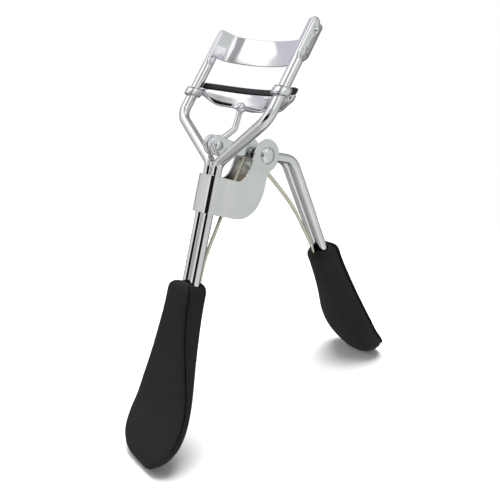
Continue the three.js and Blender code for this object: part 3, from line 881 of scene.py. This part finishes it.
def make_guide_eyes():
    """Rings that run on the rails and carry the lower jaw."""
    inner = WIRE_R + EYE_PLAY
    edge = 0.55
    for side, sign in SIDES:
        box = rounded_box(inner, EYE_R, -EYE_HALF, EYE_HALF, edge, 6)
        ring = lathe(box + box[:1], "Z", (sign * FORK_END.x, 0, EYE_AT), 56)
        eye = make_object(f"guide_eye_{side}_surface", tilted(ring, PLATE_SLOPE), HEAD_FRAME)
        node = f"guide_eye_{side}"
        finish_piece(eye, FRAME_CHROME, "lower_jaw", [node], sharp=50)


make_guide_eyes()

BALL_HEAD = HEAD_FRAME.inverted() @ HANDLE_FRAME @ BALL


def sphere_points(radius, steps=24):
    """A profile for a ball, from pole to pole, as (radius, along) points."""
    turns = [math.pi * k / steps for k in range(steps + 1)]
    return [(radius * math.sin(a), -radius * math.cos(a)) for a in turns]


def make_lug():
    """The tongue under the middle of the lower jaw, which holds the link's ball."""
    tip = BALL_HEAD.y - 0.2
    outline = [Vector((2.6, LOWER_DEPTH + 1.6)), Vector((-2.6, LOWER_DEPTH + 1.6))]
    outline += arc_2d(Vector((0, tip)), LUG_R, math.pi, 2 * math.pi, 20)
    tongue = rounded_prism(outline, LUG_BOTTOM, LUG_BOTTOM + LUG_THICK, 0.2, upright)
    lug = make_object("jaw_lug_surface", tilted(tongue, LOWER_SLOPE), HEAD_FRAME)
    socket = lathe(sphere_points(BALL_R + 0.2), "Z", BALL_HEAD, 40)
    combine(lug, make_object("socket", socket, HEAD_FRAME), "DIFFERENCE")
    finish_piece(lug, JAW_CHROME, "lower_jaw", ["jaw_lug"], sharp=40)


make_lug()


# ---------------------------------------- pivot housing
def housing_line():
    """Middle of the folded sheet, from one ear round both handle wires to the other."""
    wrap = WIRE_R + 0.55
    ear = EAR_OUT - SHEET / 2
    line = [Vector((ear, 20)), Vector((ear, 7.2))]
    line += bezier_2d(
        Vector((ear, 7.2)),
        Vector((ear, 5.6)),
        Vector((HANDLE_GAP + wrap - 0.05, 3.4)),
        Vector((HANDLE_GAP + wrap - 0.15, 2.0)),
        10,
    )
    line += arc_2d(Vector((HANDLE_GAP, 0)), wrap, 0.25, -math.pi / 2, 18)
    return line + [Vector((-p.x, p.y)) for p in line[::-1]]


def housing_side():
    """Side view of the collar and its ears, as (y, z) points."""
    front = -4
    outline = [
        Vector((front, COLLAR_BOTTOM)),
        Vector((front, COLLAR_TOP)),
        Vector((5.6, COLLAR_TOP - 0.2)),
    ]

    def curve_to(first, second, end, steps):
        pulls = [Vector(first), Vector(second)]
        outline.extend(bezier_2d(outline[-1], *pulls, Vector(end), steps))

    ear = Vector((PIVOT.y, PIVOT.z))
    rim_angle = math.pi - 0.14
    rim = ear + Vector((math.cos(rim_angle), math.sin(rim_angle))) * EAR_R
    curve_to((7.6, 82.4), (9.2, 84.6), (9.4, 88.2), 12)
    curve_to((9.5, 89.6), (9.7, 90.6), rim, 6)
    outline += arc_2d(ear, EAR_R, rim_angle, -0.9, 36)[1:]
    curve_to((16.2, 86.6), (15.5, 85.6), (15.7, 83.2), 10)
    curve_to((15.9, 79.2), (14.6, 76.2), (12.6, 74.4), 12)
    curve_to((11.2, 73.1), (9.6, 72.5), (7.6, 72.5), 8)
    return outline


def make_housing():
    """A folded sheet cut to its side view, with a hole through both ears."""
    fold = ribbon(housing_line(), SHEET)
    reach = 12
    shape = loft([[upright(p.x, p.y, z) for p in fold] for z in FOLD_SPAN])
    housing = make_object("pivot_housing_surface", shape, HANDLE_FRAME)
    side = loft([[across(p.x, p.y, x) for p in housing_side()] for x in (-reach, reach)])
    combine(housing, make_object("side", side, HANDLE_FRAME), "INTERSECT")
    drill(housing, RIVET_R + 0.1, -reach, reach, "X", PIVOT, HANDLE_FRAME)
    finish_piece(
        housing, HOUSING_CHROME, "frame", ["pivot_housing"], sharp=38, bevel=0.13
    )
    # The inside of the fold gets its own dull material with painted shade, dark low down.
    housing.data.materials.append(HOUSING_INSIDE_SHADE)
    for face in housing.data.polygons:
        within = abs(face.center.x) < (EAR_OUT - SHEET * 0.6) * MM
        if within and face.normal.x * face.center.x < 0 and abs(face.normal.x) > 0.7:
            face.material_index = 1


make_housing()


def make_pivot_rivet():
    """One shank with a round head on a thin collar against each ear."""
    face = EAR_OUT + 0.02
    half = [(RIVET_R, 0), (RIVET_R, face), (2.35, face), (2.4, face + 0.12)]
    half += dome_profile(RIVET_HEAD_R, RIVET_HEAD, face + 0.2)
    shape = lathe(both_ends(half), "X", PIVOT, 72)
    rivet = make_object("pivot_rivet_surface", shape, HANDLE_FRAME)
    finish_piece(rivet, FRAME_CHROME, "frame", ["pivot_rivet"], sharp=50)


make_pivot_rivet()

# ---------------------------------------- lever
LEVER_DOWN = Vector((math.sin(LEVER_LEAN), -math.cos(LEVER_LEAN)))


def lever_point(sign, past_elbow):
    """A point along a lever wire's straight run."""
    at = ELBOW + LEVER_DOWN * past_elbow
    return Vector((sign * LEVER_GAP, at.x, at.y))


def arm_outline(pivot_r, pin_r):
    """A waisted arm with a round end at the pivot and a larger one at the crank pin."""
    heading = math.atan2(PIN.y, PIN.x)
    spread = math.acos((pivot_r - pin_r) / PIN.length)
    near = arc_2d(Vector((0, 0)), pivot_r, heading + spread, heading - spread + 2 * math.pi, 30)
    far = arc_2d(PIN, pin_r, heading - spread, heading + spread, 30)
    outline = near + far
    for first, last in ((near[-1], far[0]), (far[-1], near[0])):
        side = (last - first).normalized()
        inward = Vector((-side.y, side.x)) * ARM_WAIST
        start = first + (last - first) * 0.3 + inward
        end = first + (last - first) * 0.7 + inward
        waist = bezier_2d(first, start, end, last, 16)[:-1]
        at = outline.index(first) + 1
        outline[at:at] = waist
    return outline


def make_lever_wire(side, sign):
    """A bent wire with an eye at the pivot and a flat arm out to the crank pin."""
    corners = [
        Vector((sign * LEVER_GAP, 0, 0)),
        lever_point(sign, 0),
        lever_point(sign, LEVER_RUN + GRIP_WIRE_DEPTH),
    ]
    path = bent_path(corners, [LEVER_BEND], 1.5, 28)
    wire = make_object(f"lever_wire_{side}_surface", tube(path, WIRE_R, 48), LEVER_FRAME)
    low, high = (ARM_IN, ARM_OUT) if sign > 0 else (-ARM_OUT, -ARM_IN)
    arm = rounded_prism(arm_outline(ARM_PIVOT_R, ARM_PIN_R), low, high, 0.4, across, 5)
    combine(wire, make_object("arm", arm, LEVER_FRAME), "UNION")
    low, high = (ARM_IN - 0.1, 3.0) if sign > 0 else (-3.0, -ARM_IN + 0.1)
    sides = 48
    rim = arc_2d(Vector((0, 0)), ARM_PIN_R, 0, 2 * math.pi * (sides - 1) / sides, sides - 1)
    eye = rounded_prism(rim, low, high, 0.5, across)
    combine(wire, make_object("eye", eye, LEVER_FRAME), "UNION")
    drill(wire, RIVET_R + 0.05, -5, 5, "X", (0, 0, 0), LEVER_FRAME)
    drill(wire, PIN_R + 0.05, -5, 5, "X", (0, PIN.x, PIN.y), LEVER_FRAME)
    finish_piece(wire, FRAME_CHROME, "lever", [f"lever_wire_{side}"], sharp=42)


for side, sign in SIDES:
    make_lever_wire(side, sign)


def make_crank_pin():
    """A pin through both arms, with a dimpled head at each end."""
    face = ARM_OUT + 0.02
    half = [(PIN_R, 0), (PIN_R, face)] + dome_profile(PIN_HEAD_R, PIN_HEAD, face, *PIN_DIMPLE)
    shape = lathe(both_ends(half), "X", (0, PIN.x, PIN.y), 48)
    pin = make_object("crank_pin_surface", shape, LEVER_FRAME)
    finish_piece(pin, FRAME_CHROME, "lever", ["crank_pin"], sharp=50)


make_crank_pin()


# ---------------------------------------- push link
def make_push_link():
    """A rod with an eye on the crank pin and a ball under the lower jaw."""
    pin = HANDLE_FROM_LEVER @ Vector((0, PIN.x, PIN.y))
    inner = PIN_R + PIN_PLAY - 0.1
    outer = PIN_R + PIN_PLAY + LINK_EYE_RIM
    box = rounded_box(inner, outer, -LINK_EYE_HALF, LINK_EYE_HALF, 0.3, 5)
    eye = make_object("push_link_surface", lathe(box + box[:1], "X", pin, 48), HANDLE_FRAME)
    start = pin + Vector((0, 1.1, 1.35))
    path = bent_path([start, LINK_ELBOW, BALL], [LINK_BEND], 1.0, 20)
    combine(eye, make_object("rod", tube(path, LINK_R, 32), HANDLE_FRAME), "UNION")
    ball = lathe(sphere_points(BALL_R, 32), "Z", BALL, 48)
    combine(eye, make_object("ball", ball, HANDLE_FRAME), "UNION")
    finish_piece(eye, FRAME_CHROME, "push_link", ["push_link"], sharp=42)


make_push_link()


# ---------------------------------------- return spring
def rear_at(run, offset):
    """A point beside the lever wires, in the handle frame."""
    inward = Vector((-math.cos(LEVER_LEAN), -math.sin(LEVER_LEAN)))
    at = ELBOW + LEVER_DOWN * run + inward * offset
    return HANDLE_FROM_LEVER @ Vector((0, at.x, at.y))


def make_spring():
    """A hairpin of thin wire, with a leg in each grip, made in one fixed shape."""
    corners = [
        Vector((0, 2.9, FRONT_MOUTH - 6)),
        Vector((0, 2.9, 60)),
        Vector((0, 9.9, 89.6)),
        Vector((0, 19.3, 86.7)),
        Vector((0, 33.0, 78.9)),
        rear_at(LEVER_RUN - 2, 2.9),
        rear_at(LEVER_RUN + 6, 2.7),
    ]
    path = bent_path(corners, [30, 1.4, 30, 60, 20], 1.0, 16)
    shape = tube(path, SPRING_R, 24, round_start=True, round_end=True)
    spring = make_object("return_spring_surface", shape, HANDLE_FRAME)
    finish_piece(spring, SPRING_STEEL, None, ["return_spring"], sharp=50)
    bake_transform(spring)


make_spring()

# ---------------------------------------- grips
# Each curve runs from the foot (0) to the mouth (1). Offsets are from the wires: outwards
# for OUTER, inwards for EDGE (at the sides) and CROWN (along the middle of the inner face).
WIDTH = profile(
    (0, 0.25, 0.4, 0.53, 0.65, 0.77, 0.87, 1), (11.2, 11.2, 10.4, 8.6, 6.95, 5.6, 4.9, 4.75)
)
DEPTH_STOPS = (0, 0.1, 0.19, 0.29, 0.41, 0.53, 0.77, 1)
OUTER = profile(DEPTH_STOPS, (6.8, 6.15, 4.6, 3.2, 2.8, 3.1, 3.9, 4.1))
EDGE = profile(DEPTH_STOPS, (-1.6, -0.4, 0.5, 1.1, 1.6, 2.3, 3.5, 3.9))
CROWN = profile(DEPTH_STOPS, (-0.8, 0.9, 2.0, 2.9, 3.5, 3.9, 4.2, 4.2))
FOOT_ROUND = 0.25
TOE_ROUND = 0.06
CORNER_ROUND = 3.2  # rounding of the mouth's corners, seen from the front
RIM_ROUND = 1.8  # and of its rims, seen from the side
OUTER_POWER = 0.42  # the smaller, the boxier the section
INNER_POWER = 0.66
CURVE_POWER = 2.2
GRIP_RINGS = 90
SECTION_STEPS = 40


def rim_inset(distance, radius):
    """How far a rounded rim draws in at a distance from the grip's end."""
    if distance >= radius:
        return 0
    return radius - math.sqrt(radius**2 - (radius - max(0, distance)) ** 2)


def grip_section(t, length, stretch, is_outer):
    """One ring of a grip shell at t, as points of the shell's frame."""
    foot = max(0, 1 - t / FOOT_ROUND)
    to_mouth = (1 - t) * length
    corner = rim_inset(to_mouth, CORNER_ROUND)
    width = WIDTH(t) * stretch * math.sqrt(max(0, 1 - foot**CURVE_POWER)) - corner
    width = max(0.05, width)
    rim = rim_inset(to_mouth, RIM_ROUND)
    swell = max(0.03, math.sqrt(1 - max(0, 1 - t / TOE_ROUND) ** 2))
    middle = (OUTER(t) - EDGE(t)) / 2
    outer = middle + (OUTER(t) - middle) * swell - rim
    split = middle + (OUTER(t) - GROOVE_INSET - middle) * swell - 0.5 * rim
    power = OUTER_POWER if is_outer else INNER_POWER
    points = []
    for k in range(SECTION_STEPS + 1):
        angle = math.pi * k / SECTION_STEPS
        u = math.copysign(abs(math.cos(angle)) ** power, math.cos(angle))
        lift = math.sin(angle) ** power if math.sin(angle) > 0 else 0
        if is_outer:
            base = split + CLEAR / 2
            y = base + lift * max(0.03, outer - base)
        else:
            base = split - CLEAR / 2
            depth = CROWN(t) + (EDGE(t) - CROWN(t)) * abs(u) ** CURVE_POWER
            depth = (depth + middle) * swell - middle - rim
            y = base - lift * max(0.03, depth + base)
        points.append(Vector((u * width, y, t * length)))
    # The parting edges are softened, so that the shells meet in a groove.
    groove = min(GROOVE_WIDE, width * 0.4)
    points[0].x = width - groove
    points[-1].x = -points[0].x
    points[1].x = width - groove * 0.3
    points[-2].x = -points[1].x
    return points


def grip_shell(length, stretch, is_outer):
    """Half of a grip, lofted from its foot to its mouth."""
    rings = []
    for i in range(GRIP_RINGS + 1):
        t = 0.5 - 0.5 * math.cos(math.pi * i / GRIP_RINGS)
        rings.append(grip_section(t, length, stretch, is_outer))
    return loft(rings)


def bore(length):
    """Room at the mouth for the two wires."""
    reach = WIRE_R + CLEAR
    outline = arc_2d(Vector((LEVER_GAP, 0)), reach, -math.pi / 2, math.pi / 2, 16)
    outline += arc_2d(Vector((-LEVER_GAP, 0)), reach, math.pi / 2, 3 * math.pi / 2, 16)
    return rounded_prism(outline, length - 9, length + 5, 0.4, upright)


def spring_slot(length):
    """Room beside the wires for the spring's leg."""
    reach = SPRING_R + CLEAR
    outline = arc_2d(Vector((0, -1)), reach, 0, math.pi, 8)
    outline += arc_2d(Vector((0, -2.7)), reach, math.pi, 2 * math.pi, 8)
    return rounded_prism(outline, length - 8, length + 5, 0.2, upright)


def level_foot(shell):
    """Flattens the tip of the foot where it rests."""
    for vert in shell.data.vertices:
        vert.co.z = max(vert.co.z, CAD_BOX[0].z)


def make_grip(name, body, length, stretch, matrix):
    """The two shells of a grip; the inner one is bored for the wires."""
    for part, is_outer in (("outer", True), ("inner", False)):
        shape = grip_shell(length, stretch, is_outer)
        shell = make_object(f"{name}_{part}_surface", shape, matrix)
        if not is_outer:
            combine(shell, make_object("bore", bore(length), matrix), "DIFFERENCE")
            combine(shell, make_object("slot", spring_slot(length), matrix), "DIFFERENCE")
        level_foot(shell)
        finish_piece(shell, SOFT_BLACK, body, [f"{name}_{part}"], sharp=48)


FRONT_GRIP = (
    HANDLE_FRAME
    @ Matrix.Translation((0, 0, FRONT_MOUTH - GRIP_LENGTH))
    @ Matrix.Rotation(math.pi, 4, "Z")
)
rear_foot = ELBOW + LEVER_DOWN * (LEVER_RUN + REAR_MOUTH + REAR_LENGTH)
REAR_GRIP = (
    LEVER_FRAME
    @ Matrix.Translation((0, rear_foot.x, rear_foot.y))
    @ Matrix.Rotation(LEVER_LEAN, 4, "X")
)
make_grip("front_grip", "frame", GRIP_LENGTH, 1, FRONT_GRIP)
make_grip("rear_grip", "lever", REAR_LENGTH, REAR_STRETCH, REAR_GRIP)


# ---------------------------------------- studio
def make_floor():
    """A round white table top, just wide enough to catch the shadows."""
    radius = 0.26
    sides = 96
    mesh = bpy.data.meshes.new("floor")
    rim = [(radius * math.cos(a), radius * math.sin(a), 0) for a in full_circle(sides)]
    mesh.from_pydata(rim, [], [tuple(range(sides))])
    mesh.materials.append(white_floor())
    floor = bpy.data.objects.new("floor", mesh)
    floor.location = (0, 0, CAD_BOX[0].z)
    bpy.context.scene.collection.objects.link(floor)
    floor.visible_glossy = False


def soft_light(name, place, target, size, power):
    """A round lamp that the metal doesn't mirror."""
    data = bpy.data.lights.new(name, "AREA")
    data.shape = "DISK"
    data.size = size
    data.energy = power
    light = bpy.data.objects.new(name, data)
    light.location = place
    light.rotation_euler = (Vector(target) - Vector(place)).to_track_quat("-Z", "Y").to_euler()
    light.visible_glossy = False
    bpy.context.scene.collection.objects.link(light)


GREY_GREEN = (0.64, 0.67, 0.64)
LILAC = (0.66, 0.66, 0.72)

# What the polished metal mirrors, by compass angle: 0 is the front, 90 is to the right.
# UPPER is the tent's roof, MIDDLE and LEVEL its walls with a dark gap, LOWER the table.
# BAND_EDGES are the heights, of a direction, over which each turns into the next one up.
BAND_EDGES = ((-0.2, -0.08), (0.38, 0.48), (0.73, 0.79))
UPPER = [
    (-180, 0.35),
    (-145, 0.35),
    (-128, LILAC),
    (-64, LILAC),
    (-58, 1.3),
    (18, 1.3),
    (26, 0.4),
    (85, 0.45),
    (95, 1.2),
    (130, 1.0),
    (180, 0.4),
]
MIDDLE = [
    (-180, 0.35),
    (-128, LILAC),
    (-72, LILAC),
    (-52, 0.78),
    (-36, 1.25),
    (-20, 1.25),
    (-4, 0.68),
    (10, 0.6),
    (34, 0.34),
    (60, 0.42),
    (70, 1.1),
    (95, 1.2),
    (107, 0.9),
    (123, 0.56),
    (180, 0.4),
]
LEVEL = [
    (-180, 0.3),
    (-150, 0.14),
    (-118, 0.15),
    (-100, 0.3),
    (-82, 0.4),
    (-50, 0.76),
    (-40, 0.7),
    (-16, 0.95),
    (-7, 0.9),
    (-3, 0.008),
    (45, 0.008),
    (50, 0.5),
    (57, 0.72),
    (100, 0.64),
    (118, 0.7),
    (126, GREY_GREEN),
    (150, GREY_GREEN),
    (158, 0.42),
    (180, 0.3),
]
LOWER = [
    (-180, 0.25),
    (-130, 0.16),
    (-100, 0.3),
    (-79, 0.36),
    (-5, 0.47),
    (30, 0.6),
    (60, 0.85),
    (104, 0.75),
    (118, 0.68),
    (128, GREY_GREEN),
    (150, GREY_GREEN),
    (158, 0.4),
    (180, 0.25),
]


def math_node(nodes, links, operation, *values):
    """Arithmetic on sockets and plain numbers."""
    node = nodes.new("ShaderNodeMath")
    node.operation = operation
    for socket, value in zip(node.inputs, values):
        if isinstance(value, (int, float)):
            socket.default_value = value
        else:
            links.new(value, socket)
    return node.outputs["Value"]


def mix_shaders(nodes, links, share, first, second):
    """The first background where the share is 0, the second where it is 1."""
    node = nodes.new("ShaderNodeMixShader")
    for socket, value in zip(node.inputs, (share, first, second)):
        links.new(value, socket)
    return node.outputs["Shader"]


def even_background(nodes, grey):
    """The same light from every side."""
    node = nodes.new("ShaderNodeBackground")
    node.inputs["Color"].default_value = (grey, grey, grey, 1)
    return node.outputs["Background"]


def make_world():
    """A pale studio tent for the metal to mirror, plain white behind the object for the
    camera, and an even grey light on everything else."""
    world = bpy.data.worlds.new("studio")
    world.use_nodes = True
    bpy.context.scene.world = world
    nodes = world.node_tree.nodes
    links = world.node_tree.links
    nodes.clear()
    place = nodes.new("ShaderNodeTexCoord")
    parts = nodes.new("ShaderNodeSeparateXYZ")
    links.new(place.outputs["Generated"], parts.inputs["Vector"])
    front = math_node(nodes, links, "MULTIPLY", parts.outputs["Y"], -1)
    angle = math_node(nodes, links, "ARCTAN2", parts.outputs["X"], front)
    share = math_node(nodes, links, "MULTIPLY_ADD", angle, 1 / (2 * math.pi), 0.5)
    bands = []
    for band in (LOWER, LEVEL, MIDDLE, UPPER):
        stops = [(degrees / 360 + 0.5, value) for degrees, value in band]
        bands.append(ramp(nodes, links, share, stops))
    studio = bands[0]
    for (start, end), above in zip(BAND_EDGES, bands[1:]):
        studio = blend_by_height(nodes, links, parts.outputs["Z"], start, end, studio, above)
    mirrored = nodes.new("ShaderNodeBackground")
    links.new(studio, mirrored.inputs["Color"])
    rays = nodes.new("ShaderNodeLightPath").outputs
    ambient = even_background(nodes, AMBIENT)
    seen = mix_shaders(nodes, links, rays["Is Camera Ray"], ambient, even_background(nodes, 1))
    mirror = mirrored.outputs["Background"]
    chosen = mix_shaders(nodes, links, rays["Is Glossy Ray"], seen, mirror)
    result = nodes.new("ShaderNodeOutputWorld")
    links.new(chosen, result.inputs["Surface"])


make_floor()
make_world()
soft_light("overhead", place=(0, 0, 0.55), target=(0, 0, 0), size=0.4, power=5)
soft_light("fill", place=(-0.8, -0.5, 0.4), target=(0, 0, 0.05), size=0.6, power=3)
bpy.context.scene.view_settings.view_transform = "Standard"

# ---------------------------------------- final update
bpy.context.view_layer.update()
